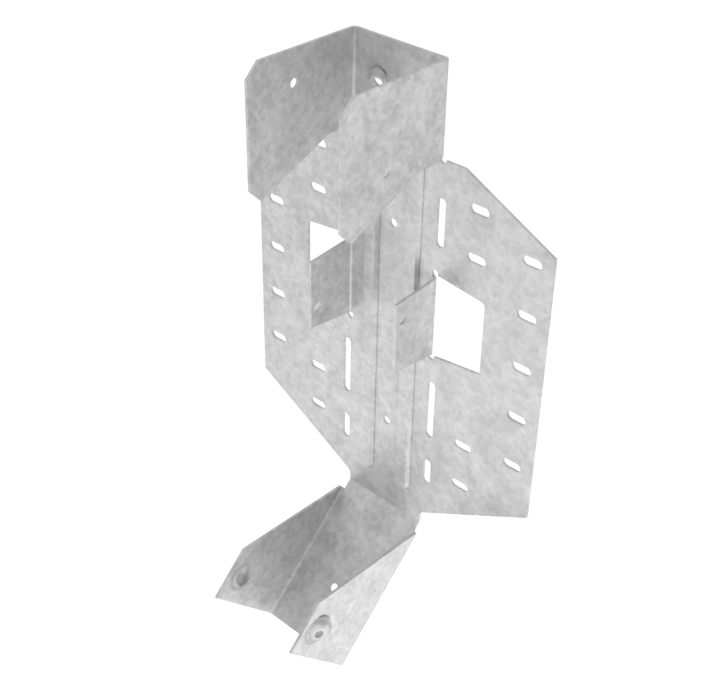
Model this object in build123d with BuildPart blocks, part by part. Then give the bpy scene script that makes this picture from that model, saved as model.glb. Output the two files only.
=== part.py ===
"""Sloped-seat joist hanger, folded from one galvanised steel blank. Millimetres, +Z up.

The front, where the joist lies, looks towards -Y. The origin is on the back face, on the
centre line, level with the middle row of nail slots.
"""
import os
from math import cos, radians, sin, sqrt, tan

from build123d import *

# The sheet
sheet = 1.5  # thickness of the galvanised steel
fold_radius = 1.5  # inside radius of every fold
nail_hole = 4.8  # round nail hole, and the width of every slot
nail_slot = 10.8  # end-to-end length of a nail slot

# The back plate and its two wings
inner_width = 54.0  # clear width between the channel walls, the tabs and the seat sides
top_edge = 134.6  # top of the back plate and of the channel walls
fold_drop = 125.5  # how far below the origin the seat fold lies
wing_reach = 92.6  # centre line to the outer edge of a wing
wing_top = 87.5  # top edge of a wing, where the channel wall leaves the plate
wing_shoulder = 40.7  # where that edge starts to slope, from the centre line
wing_corner = 62.3  # upper outer corner of a wing
wing_foot = -82.6  # lower outer corner of a wing
neck_half = 25.4  # half the width of the neck above the seat
neck_length = 6.1  # from the seat fold up to where the wings start
neck_radius = 4.0  # inside corner between a wing and the neck
wall_relief = 1.7  # radius of the round relief under each channel wall
wall_relief_place = (28.0, 87.3)

# The channel walls, with depths measured from the front face of the back plate
wall_depth = 66.0
wall_level = 16.4  # level stretch of the lower edge, next to the fold
wall_drop = 18.9  # how far the lower edge falls from there
wall_nose = 6.5  # corner cut at the lower front
wall_crown = 7.1  # corner cut at the upper front
wall_hole_depth = 38.0
wall_hole_heights = (118.5, 94.4)  # left and right, staggered

# The windows, and the tabs that are folded forward out of them
window_middle = 5.1  # height of the middle of the windows and tabs
window_reach = 57.4  # centre line to the outer edge of a window
window_inner = 46.7  # height of a window at its fold
window_outer = 39.5  # and at its outer edge
window_radius = 2.5  # rounded upper outer corner
tab_depth = 28.2
tab_root = 42.7  # height of a tab at its fold
tab_tip = 37.4  # and at its front edge
tab_relief = 2.0  # radius of the round relief at each end of a tab's fold
tab_hole_depth = 23.6
tab_hole_heights = (-3.1, 14.1)

# The slots, with columns measured from the centre line unless a line says otherwise
outer_margin = 11.8  # from the edge of a wing to the outer column
outer_pitch = 28.1
outer_rows = 5
inner_column = 50.4
inner_pitch = 24.9
inner_middles = (57.9, -73.8)  # of the upper and the lower pair
skew_column = 28.8  # long slots on the line where a wing is bent for a skewed joist
skew_slots = ((55.9, 25.5), (-50.1, 34.1), (-89.7, 15.5))  # middle and length of each
centre_holes = (45.1, -71.6)

# Two pressed ribs, raised to the front and hollow behind
rib_middle = 12.95
rib_width = 9.3  # at the foot
rib_height = 2.3
rib_flank = 63.0  # degrees that a flank rises at
rib_low = -109.0
rib_high = 96.0
rib_corner = 3.5

# The seat, which slopes forward, and its two sides
seat_slope = 45.0  # degrees between the back plate's plane and the seat
seat_length = 86.5
side_height = 53.4
side_start = 6.1  # where the sides begin, down the seat from its fold
side_full = 57.5  # where they reach their full height
side_toe = 1.6  # height of their blunt upper end
seat_hole = 55.0

# Nail domes: tilted drums with a rounded top, pressed out of the sheet, each with a nail hole
side_dome_place = (72.1, 43.2)  # down the seat, and up the side
side_dome_radius = 8.0
side_dome_crown = 10.0  # radius of the ball that its top is part of
side_dome_flat = 3.2  # radius of the flat round its hole
side_dome_shift = 0.4  # how far its hole lies towards the low edge
back_dome_place = (11.0, 113.6)  # from the centre line, and height
back_dome_radius = 5.4
back_dome_crown = 6.8
back_dome_flat = 3.3
back_dome_shift = 0.4
back_dome_turn = 50.0  # degrees down from level that its top is turned to
dome_tilt = 24.0
dome_sink = 0.2  # how far the low edge of a dome's flat, carried on, would lie in the sheet

# Worked out from the sizes above
half = inner_width / 2
outside = half + sheet
flat_half = half - fold_radius
fold_start = fold_radius - fold_drop
outer_column = wing_reach - outer_margin
down_seat = Vector(0, -sin(radians(seat_slope)), -cos(radians(seat_slope)))
off_seat = Vector(0, -cos(radians(seat_slope)), sin(radians(seat_slope)))
fold_line = Vector(0, -sheet, -fold_drop)
seat_plane = Plane(origin=fold_line, x_dir=(1, 0, 0), z_dir=off_seat)
side_plane = Plane(origin=fold_line, x_dir=down_seat, z_dir=(-1, 0, 0))


def trough(plane, depth, length):
    """A length of the sheet folded up at both sides, with its floor on the plane's X axis."""
    with BuildSketch(plane) as section:
        with BuildLine():
            FilletPolyline((-half, depth), (-half, 0), (half, 0), (half, depth), radius=fold_radius)
            offset(amount=sheet, side=Side.RIGHT)
        make_face()
    extrude(section.sketch, amount=length)


def front_trough(depth, low, high):
    """The back plate folded forward into two walls, between two heights."""
    trough(Plane(origin=(0, -sheet, low), x_dir=(-1, 0, 0), z_dir=(0, 0, 1)), depth, high - low)


def trim(plane, outline):
    """Keeps what lies inside an outline, seen square to its plane."""
    with BuildSketch(plane) as keep:
        with BuildLine():
            Polyline(outline, close=True)
        make_face()
    extrude(keep.sketch, amount=outside, both=True, mode=Mode.INTERSECT)


def press_dome(place, radius, crown, flat, hole_shift):
    """A tilted drum raised along the plane's Z, open behind, with its top turned towards X."""
    axis_dir = place.z_dir * cos(radians(dome_tilt)) + place.x_dir * sin(radians(dome_tilt))
    middle = place.origin + place.z_dir * (radius * sin(radians(dome_tilt)) - dome_sink)
    face = Plane(middle, place.y_dir * -1, axis_dir)
    ball = face.offset(-sqrt(crown**2 - flat**2))
    for wall, mode in ((0, Mode.ADD), (sheet, Mode.SUBTRACT)):
        with BuildPart(mode=Mode.PRIVATE) as drum:
            with BuildSketch(face.offset(-wall)):
                Circle(radius - wall)
            extrude(amount=-3 * radius)
            with Locations(ball):
                Sphere(crown - wall, mode=Mode.INTERSECT)
            split(bisect_by=place.offset(-sheet - wall), keep=Keep.TOP)
        add(drum.part, mode=mode)
    with BuildSketch(face) as nail:
        with Locations((0, hole_shift)):
            Circle(nail_hole / 2)
    extrude(nail.sketch, amount=2 * sheet, both=True, mode=Mode.SUBTRACT)


# Back plate: the flat of the blank, with its wings, neck and windows
with BuildPart() as back_plate:
    with BuildSketch(Plane.XZ) as blank:
        with BuildLine():
            Polyline(
                (0, wing_top),
                (wing_shoulder, wing_top),
                (wing_reach, wing_corner),
                (wing_reach, wing_foot),
                (neck_half, neck_length - fold_drop),
                (neck_half, fold_start),
                (0, fold_start),
            )
            mirror(about=Plane.YZ)
        make_face()
        fillet(blank.vertices().group_by(Axis.Y)[1], neck_radius)
    extrude(amount=sheet)
    with BuildSketch(Plane.XZ) as window:
        with BuildLine():
            Polyline(
                (flat_half, window_middle + window_inner / 2),
                (window_reach, window_middle + window_outer / 2),
                (window_reach, window_middle - window_outer / 2),
                (flat_half, window_middle - window_inner / 2),
                close=True,
            )
        make_face()
        fillet(window.vertices().group_by(Axis.X)[-1].sort_by(Axis.Y)[-1], window_radius)
        mirror(about=Plane.YZ)
    extrude(amount=sheet, mode=Mode.SUBTRACT)

# Channel: the upper back wall and the two deep walls beside the joist
with BuildPart() as channel:
    wall_low = wing_top - wall_drop
    front_trough(wall_depth, wall_low, top_edge)
    trim(
        Plane.YZ,
        [
            (0, wing_top),
            (-sheet - wall_level, wing_top),
            (-sheet - wall_depth + wall_nose, wall_low),
            (-sheet - wall_depth, wall_low + wall_nose),
            (-sheet - wall_depth, top_edge - wall_crown),
            (-sheet - wall_depth + wall_crown, top_edge),
            (0, top_edge),
        ],
    )

# Tabs: folded forward out of the windows, in line with the channel walls
with BuildPart() as tabs:
    front_trough(tab_depth, window_middle - tab_root / 2, window_middle + tab_root / 2)
    trim(
        Plane.YZ,
        [
            (0, window_middle - tab_root / 2),
            (-sheet - fold_radius, window_middle - tab_root / 2),
            (-sheet - tab_depth, window_middle - tab_tip / 2),
            (-sheet - tab_depth, window_middle + tab_tip / 2),
            (-sheet - fold_radius, window_middle + tab_root / 2),
            (0, window_middle + tab_root / 2),
        ],
    )
    with BuildSketch(Plane.XZ):  # the web between them belongs to the back plate
        with Locations((0, window_middle)):
            Rectangle(2 * flat_half, tab_root)
    extrude(amount=sheet, mode=Mode.SUBTRACT)

# Neck: the fold between the back plate and the seat
with BuildPart() as neck:
    with BuildSketch(Plane.YZ):
        with BuildLine():
            seat_start = fold_line + down_seat * side_start
            FilletPolyline(
                (-sheet, fold_start),
                (-sheet, -fold_drop),
                (seat_start.Y, seat_start.Z),
                radius=fold_radius,
            )
            offset(amount=sheet, side=Side.LEFT)
        make_face()
    extrude(amount=neck_half, both=True)

# Seat: a trough that slopes down to the front
with BuildPart() as seat:
    seat_top = Plane(origin=fold_line + down_seat * side_start, x_dir=(1, 0, 0), z_dir=down_seat)
    trough(seat_top, side_height, seat_length - side_start)
    trim(
        side_plane,
        [
            (side_start, -sheet),
            (side_start, side_toe),
            (side_full, side_height),
            (seat_length, side_height),
            (seat_length, -sheet),
        ],
    )

with BuildPart() as folded_hanger:
    add([back_plate.part, channel.part, tabs.part, neck.part, seat.part])

    # Round reliefs at the ends of the wall and tab folds
    with BuildSketch(Plane.XZ):
        for side in (-1, 1):
            with Locations((side * wall_relief_place[0], wall_relief_place[1])):
                Circle(wall_relief)
            for end in (-1, 1):
                with Locations((side * half, window_middle + end * window_inner / 2)):
                    Circle(tab_relief)
    extrude(amount=sheet + fold_radius, mode=Mode.SUBTRACT)

    # Ribs, raised in front and then hollowed behind by the thickness of the sheet
    hollow_inset = sheet * tan(radians(rib_flank / 2))
    rib_places = [(side * rib_middle, (rib_low + rib_high) / 2) for side in (-1, 1)]
    with BuildSketch(Plane.XZ.offset(sheet)):
        with Locations(*rib_places):
            RectangleRounded(rib_width, rib_high - rib_low, rib_corner)
    extrude(amount=rib_height, taper=90 - rib_flank)
    with BuildSketch(Plane.XZ):
        with Locations(*rib_places):
            RectangleRounded(
                rib_width - 2 * hollow_inset,
                rib_high - rib_low - 2 * hollow_inset,
                rib_corner - hollow_inset,
            )
    extrude(amount=rib_height, taper=90 - rib_flank, mode=Mode.SUBTRACT)

    # Nail domes on the seat's sides and on the upper back wall
    for side in (-1, 1):
        side_dome = fold_line + down_seat * side_dome_place[0] + off_seat * side_dome_place[1]
        side_face = Vector(side * outside, 0, 0)
        side_place = Plane(side_dome + side_face, (0, -1, 0), (side, 0, 0))
        press_dome(side_place, side_dome_radius, side_dome_crown, side_dome_flat, side_dome_shift)
        back_dome = Vector(side * back_dome_place[0], -sheet, back_dome_place[1])
        turned = Vector(-side * cos(radians(back_dome_turn)), 0, -sin(radians(back_dome_turn)))
        back_place = Plane(back_dome, turned, (0, -1, 0))
        press_dome(back_place, back_dome_radius, back_dome_crown, back_dome_flat, back_dome_shift)

    # Slots and holes through the back plate
    with BuildSketch(Plane.XZ):
        with GridLocations(2 * outer_column, outer_pitch, 2, outer_rows):
            SlotOverall(nail_slot, nail_hole)
        for middle in inner_middles:
            with Locations((0, middle)):
                with GridLocations(2 * inner_column, inner_pitch, 2, 2):
                    SlotOverall(nail_slot, nail_hole)
        for middle, length in skew_slots:
            with Locations((-skew_column, middle), (skew_column, middle)):
                SlotOverall(length, nail_hole, rotation=90)
        with Locations(*[(0, height) for height in centre_holes]):
            Circle(nail_hole / 2)
    extrude(amount=sheet, mode=Mode.SUBTRACT)

    # Staggered holes through the walls and the tabs
    for depth, heights in ((wall_hole_depth, wall_hole_heights), (tab_hole_depth, tab_hole_heights)):
        for side, height in zip((-1, 1), heights):
            with BuildSketch(Plane.YZ.offset(side * (half + sheet / 2))):
                with Locations((-sheet - depth, height)):
                    Circle(nail_hole / 2)
            extrude(amount=sheet, both=True, mode=Mode.SUBTRACT)

    # Hole in the seat
    with BuildSketch(seat_plane):
        with Locations((0, -seat_hole)):
            Circle(nail_hole / 2)
    extrude(amount=-sheet, mode=Mode.SUBTRACT)

folded_hanger.part.label = "folded_hanger"
os.makedirs("parts", exist_ok=True)
export_step(folded_hanger.part, "parts/folded_hanger.step")
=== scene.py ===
"""The joist hanger, dressed and lit. Metres, +Z up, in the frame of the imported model."""

import bpy
from mathutils import Matrix, Vector


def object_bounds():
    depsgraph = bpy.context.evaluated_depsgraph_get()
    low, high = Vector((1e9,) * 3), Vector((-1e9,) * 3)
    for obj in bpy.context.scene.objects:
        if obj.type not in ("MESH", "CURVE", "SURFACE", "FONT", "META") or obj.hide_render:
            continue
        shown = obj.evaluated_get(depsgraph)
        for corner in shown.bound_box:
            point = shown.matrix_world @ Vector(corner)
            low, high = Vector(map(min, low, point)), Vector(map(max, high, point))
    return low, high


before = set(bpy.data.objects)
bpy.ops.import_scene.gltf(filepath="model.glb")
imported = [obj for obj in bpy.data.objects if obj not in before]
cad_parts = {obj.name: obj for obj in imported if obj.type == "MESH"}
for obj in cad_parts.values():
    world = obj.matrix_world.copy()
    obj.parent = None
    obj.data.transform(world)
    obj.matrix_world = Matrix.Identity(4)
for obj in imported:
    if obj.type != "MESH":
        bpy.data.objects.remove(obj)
cad_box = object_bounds()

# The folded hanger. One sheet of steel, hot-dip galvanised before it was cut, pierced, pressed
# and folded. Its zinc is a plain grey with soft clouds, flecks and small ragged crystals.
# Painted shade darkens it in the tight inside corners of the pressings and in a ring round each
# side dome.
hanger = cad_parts["folded_hanger"]

ZINC_DARK = (0.455, 0.455, 0.455, 1.0)
ZINC_LIGHT = (0.765, 0.765, 0.765, 1.0)
ZINC_METALLIC = 0.35
ZINC_SPECULAR = 0.4
CLOUD_SIZE = 0.014
CLOUD_DETAIL = 2.0
CLOUD_SWIRL = 0.4
FLECK_SIZE = 0.0036
FLECK_DETAIL = 3.0
FLECK_ROUGHNESS = 0.6
FLECKS_IN_CLOUDS = 0.5
CRYSTAL_SIZE = 0.0026
CRYSTAL_RAGGED = 0.0016
CRYSTALS_IN_MOTTLE = 0.14
MOTTLE_SPREAD = (0.28, 0.72)
GLOSS = (0.42, 0.62)
RELIEF = 0.10
RELIEF_DEPTH = 0.0003
# Painted shade: the zinc's tone is darkened in the tight inside corners of the pressings.
PAINTED_SHADE_REACH = 0.0011
PAINTED_SHADE_OPEN = (0.60, 0.92)
PAINTED_CORNER_SHADE = 0.44
# Painted shade: the zinc's tone is darkened in a ring round each side dome.
SIDE_DOME_AXIS = (0.0, -0.0830, -0.1459)
PAINTED_RING_RADIUS = 0.0069
PAINTED_RING_WIDTH = 0.0022
PAINTED_RING_SHADE = 0.74


def zinc_pattern(tree, place, size, detail):
    """Soft patches of zinc, about size across, with finer ones in them."""
    pattern = tree.nodes.new("ShaderNodeTexNoise")
    pattern.inputs["Scale"].default_value = 1 / size
    pattern.inputs["Detail"].default_value = detail
    tree.links.new(place, pattern.inputs["Vector"])
    return pattern


def blended(tree, first, second, share):
    """The first pattern with a share of the second in it."""
    blend = tree.nodes.new("ShaderNodeMix")
    blend.inputs["Factor"].default_value = share
    tree.links.new(first, blend.inputs["A"])
    tree.links.new(second, blend.inputs["B"])
    return blend.outputs["Result"]


def spread(tree, value, before=(0.0, 1.0), after=(0.0, 1.0), curve="LINEAR"):
    """A value taken from the range before to the range after, and held at its ends."""
    levels = tree.nodes.new("ShaderNodeMapRange")
    levels.interpolation_type = curve
    for end, level in zip(("From Min", "From Max", "To Min", "To Max"), before + after):
        levels.inputs[end].default_value = level
    tree.links.new(value, levels.inputs["Value"])
    return levels.outputs["Result"]


def with_painted_shade(tree, colour, shade):
    """A colour darkened by painted shade, where the shade factor is under 1."""
    dull = tree.nodes.new("ShaderNodeMix")
    dull.data_type = "RGBA"
    dull.blend_type = "MULTIPLY"
    dull.inputs["Factor"].default_value = 1.0
    tree.links.new(colour, dull.inputs["A"])
    tree.links.new(shade, dull.inputs["B"])
    return dull.outputs["Result"]


def painted_corner_shade(tree):
    """The factor of painted shade: its darkest level in the tight inside corners, and 1 on open
    sheet.
    """
    corners = tree.nodes.new("ShaderNodeAmbientOcclusion")
    corners.only_local = True
    corners.inputs["Distance"].default_value = PAINTED_SHADE_REACH
    return spread(tree, corners.outputs["AO"], PAINTED_SHADE_OPEN, (PAINTED_CORNER_SHADE, 1.0))


def painted_ring_shade(tree, place):
    """The factor of painted shade: its darkest level in a ring round the axis of the two side
    domes, and 1 away from it.
    """
    across = tree.nodes.new("ShaderNodeVectorMath")
    across.operation = "MULTIPLY"
    across.inputs[1].default_value = (0.0, 1.0, 1.0)
    tree.links.new(place, across.inputs[0])
    from_axis = tree.nodes.new("ShaderNodeVectorMath")
    from_axis.operation = "DISTANCE"
    from_axis.inputs[1].default_value = SIDE_DOME_AXIS
    tree.links.new(across.outputs["Vector"], from_axis.inputs[0])
    past_ring = tree.nodes.new("ShaderNodeMath")
    past_ring.operation = "SUBTRACT"
    past_ring.inputs[1].default_value = PAINTED_RING_RADIUS
    tree.links.new(from_axis.outputs["Value"], past_ring.inputs[0])
    from_ring = tree.nodes.new("ShaderNodeMath")
    from_ring.operation = "ABSOLUTE"
    tree.links.new(past_ring.outputs["Value"], from_ring.inputs[0])
    return spread(tree, from_ring.outputs["Value"], (0.0, PAINTED_RING_WIDTH), (PAINTED_RING_SHADE, 1.0),
                  "SMOOTHSTEP")


def galvanised_zinc():
    """Mottled hot-dip zinc with painted shade. Clouds, flecks and crystals drive its tone, gloss
    and relief.
    """
    material = bpy.data.materials.new("galvanised_zinc")
    material.use_nodes = True
    tree = material.node_tree
    shader = tree.nodes["Principled BSDF"]
    shader.inputs["Metallic"].default_value = ZINC_METALLIC
    shader.inputs["Specular IOR Level"].default_value = ZINC_SPECULAR
    place = tree.nodes.new("ShaderNodeTexCoord").outputs["Object"]

    clouds = zinc_pattern(tree, place, CLOUD_SIZE, CLOUD_DETAIL)
    clouds.inputs["Distortion"].default_value = CLOUD_SWIRL
    flecks = zinc_pattern(tree, place, FLECK_SIZE, FLECK_DETAIL)
    flecks.inputs["Roughness"].default_value = FLECK_ROUGHNESS

    ragged = tree.nodes.new("ShaderNodeVectorMath")
    ragged.operation = "MULTIPLY_ADD"
    ragged.inputs[1].default_value = (CRYSTAL_RAGGED, CRYSTAL_RAGGED, CRYSTAL_RAGGED)
    tree.links.new(flecks.outputs["Color"], ragged.inputs[0])
    tree.links.new(place, ragged.inputs[2])
    crystals = tree.nodes.new("ShaderNodeTexVoronoi")
    crystals.inputs["Scale"].default_value = 1 / CRYSTAL_SIZE
    tree.links.new(ragged.outputs["Vector"], crystals.inputs["Vector"])
    facets = tree.nodes.new("ShaderNodeSeparateColor")
    tree.links.new(crystals.outputs["Color"], facets.inputs["Color"])

    patches = blended(tree, clouds.outputs["Fac"], flecks.outputs["Fac"], FLECKS_IN_CLOUDS)
    mottle = blended(tree, patches, facets.outputs["Red"], CRYSTALS_IN_MOTTLE)

    tone = tree.nodes.new("ShaderNodeMix")
    tone.data_type = "RGBA"
    tone.inputs["A"].default_value = ZINC_DARK
    tone.inputs["B"].default_value = ZINC_LIGHT
    tree.links.new(spread(tree, mottle, MOTTLE_SPREAD), tone.inputs["Factor"])
    # Painted shade laid on the tone, in the tight inside corners and in a ring round each side
    # dome.
    with_painted_corner_shade = with_painted_shade(tree, tone.outputs["Result"], painted_corner_shade(tree))
    with_painted_ring_shade = with_painted_shade(tree, with_painted_corner_shade, painted_ring_shade(tree, place))
    tree.links.new(with_painted_ring_shade, shader.inputs["Base Color"])
    tree.links.new(spread(tree, mottle, after=GLOSS), shader.inputs["Roughness"])

    relief = tree.nodes.new("ShaderNodeBump")
    relief.inputs["Strength"].default_value = RELIEF
    relief.inputs["Distance"].default_value = RELIEF_DEPTH
    tree.links.new(mottle, relief.inputs["Height"])
    tree.links.new(relief.outputs["Normal"], shader.inputs["Normal"])
    return material


zinc = galvanised_zinc()
for slot in hanger.material_slots:
    slot.material = zinc

# The studio floor and world. The hanger hangs clear of a plain white floor, which takes its soft
# shadow, in a world that gives an even light. Both look white to the camera, in gloss and
# through glass.
WHITE = (1.0, 1.0, 1.0, 1.0)
WHITE_STRENGTH = 1.0
AMBIENT = 0.60
FLOOR_SIZE = 8.0
FLOOR_DROP = 0.9
FLOOR_GLOW = 0.52
FLOOR_PAINT = (0.9, 0.9, 0.9, 1.0)
FLOOR_ROUGHNESS = 0.9


def seen_directly(tree):
    """1 for rays from the camera, in gloss and through glass, and 0 for gathered light."""
    path = tree.nodes.new("ShaderNodeLightPath")
    seen = path.outputs["Is Camera Ray"]
    for ray in ("Is Glossy Ray", "Is Transmission Ray"):
        either = tree.nodes.new("ShaderNodeMath")
        either.operation = "MAXIMUM"
        tree.links.new(seen, either.inputs[0])
        tree.links.new(path.outputs[ray], either.inputs[1])
        seen = either.outputs["Value"]
    return seen


world = bpy.data.worlds.new("studio")
world.use_nodes = True
sky = world.node_tree
even = sky.nodes["Background"]
even.inputs["Color"].default_value = WHITE
even.inputs["Strength"].default_value = AMBIENT
white = sky.nodes.new("ShaderNodeBackground")
white.inputs["Color"].default_value = WHITE
white.inputs["Strength"].default_value = WHITE_STRENGTH
pick = sky.nodes.new("ShaderNodeMixShader")
sky.links.new(seen_directly(sky), pick.inputs["Fac"])
sky.links.new(even.outputs["Background"], pick.inputs[1])
sky.links.new(white.outputs["Background"], pick.inputs[2])
sky.links.new(pick.outputs["Shader"], sky.nodes["World Output"].inputs["Surface"])
bpy.context.scene.world = world

floor_place = (0.0, 0.0, cad_box[0][2] - FLOOR_DROP)
bpy.ops.mesh.primitive_plane_add(size=FLOOR_SIZE, location=floor_place)
floor = bpy.context.object
floor.name = "floor"
floor_white = bpy.data.materials.new("floor_white")
floor_white.use_nodes = True
paint = floor_white.node_tree
matt = paint.nodes["Principled BSDF"]
matt.inputs["Base Color"].default_value = FLOOR_PAINT
matt.inputs["Roughness"].default_value = FLOOR_ROUGHNESS
glow_strength = paint.nodes.new("ShaderNodeMath")
glow_strength.operation = "MULTIPLY"
glow_strength.inputs[1].default_value = FLOOR_GLOW
paint.links.new(seen_directly(paint), glow_strength.inputs[0])
glow = paint.nodes.new("ShaderNodeEmission")
paint.links.new(glow_strength.outputs["Value"], glow.inputs["Strength"])
both = paint.nodes.new("ShaderNodeAddShader")
paint.links.new(matt.outputs["BSDF"], both.inputs[0])
paint.links.new(glow.outputs["Emission"], both.inputs[1])
paint.links.new(both.outputs["Shader"], paint.nodes["Material Output"].inputs["Surface"])
floor.data.materials.append(floor_white)

# The lamps. Four square soft boxes, two low on the right, one low at the front left and one high
# on the left. Each faces the middle of the hanger, and their powers were fitted to its tones.
middle = (Vector(cad_box[0]) + Vector(cad_box[1])) / 2


def soft_light(name, place, size, power):
    """A square soft box at place, turned to face the hanger."""
    lamp = bpy.data.lights.new(name, "AREA")
    lamp.size = size
    lamp.energy = power
    box = bpy.data.objects.new(name, lamp)
    box.location = place
    box.rotation_euler = (middle - Vector(place)).to_track_quat("-Z", "Y").to_euler()
    bpy.context.collection.objects.link(box)


soft_light("low_right", (0.9, -0.5, -0.6), size=0.6, power=4.3)
soft_light("low_back_right", (0.5, 0.2, -0.5), size=0.3, power=0.6)
soft_light("low_front_left", (-0.6, -1.0, -0.8), size=0.4, power=2.1)
soft_light("high_left", (-0.8, -0.5, 0.6), size=0.5, power=0.65)

# The camera. It looks down on the hanger from the front right, and its place, turn and lens
# were fitted to the photograph's outlines.
PHOTO_WIDTH = 707.0
SENSOR = 36.0
FOCAL_PIXELS = 1320.32
NEAREST = 0.01
CAMERA_PLACE = Vector((0.36437, -0.41950, 0.34299))
LOOK = Vector((-0.5661334, 0.6086536, -0.5559081))
CAMERA_RIGHT = Vector((0.7258625, 0.6877026, 0.0137390))

lens = bpy.data.cameras.new("camera")
lens.sensor_width = SENSOR
lens.lens = FOCAL_PIXELS / PHOTO_WIDTH * SENSOR
lens.clip_start = NEAREST
camera = bpy.data.objects.new("camera", lens)
back = -LOOK.normalized()
right = (CAMERA_RIGHT - back * CAMERA_RIGHT.dot(back)).normalized()
up = back.cross(right)
turn = Matrix((right, up, back)).transposed().to_4x4()
camera.matrix_world = Matrix.Translation(CAMERA_PLACE) @ turn
bpy.context.collection.objects.link(camera)
bpy.context.scene.camera = camera
bpy.context.scene.view_settings.view_transform = "Standard"
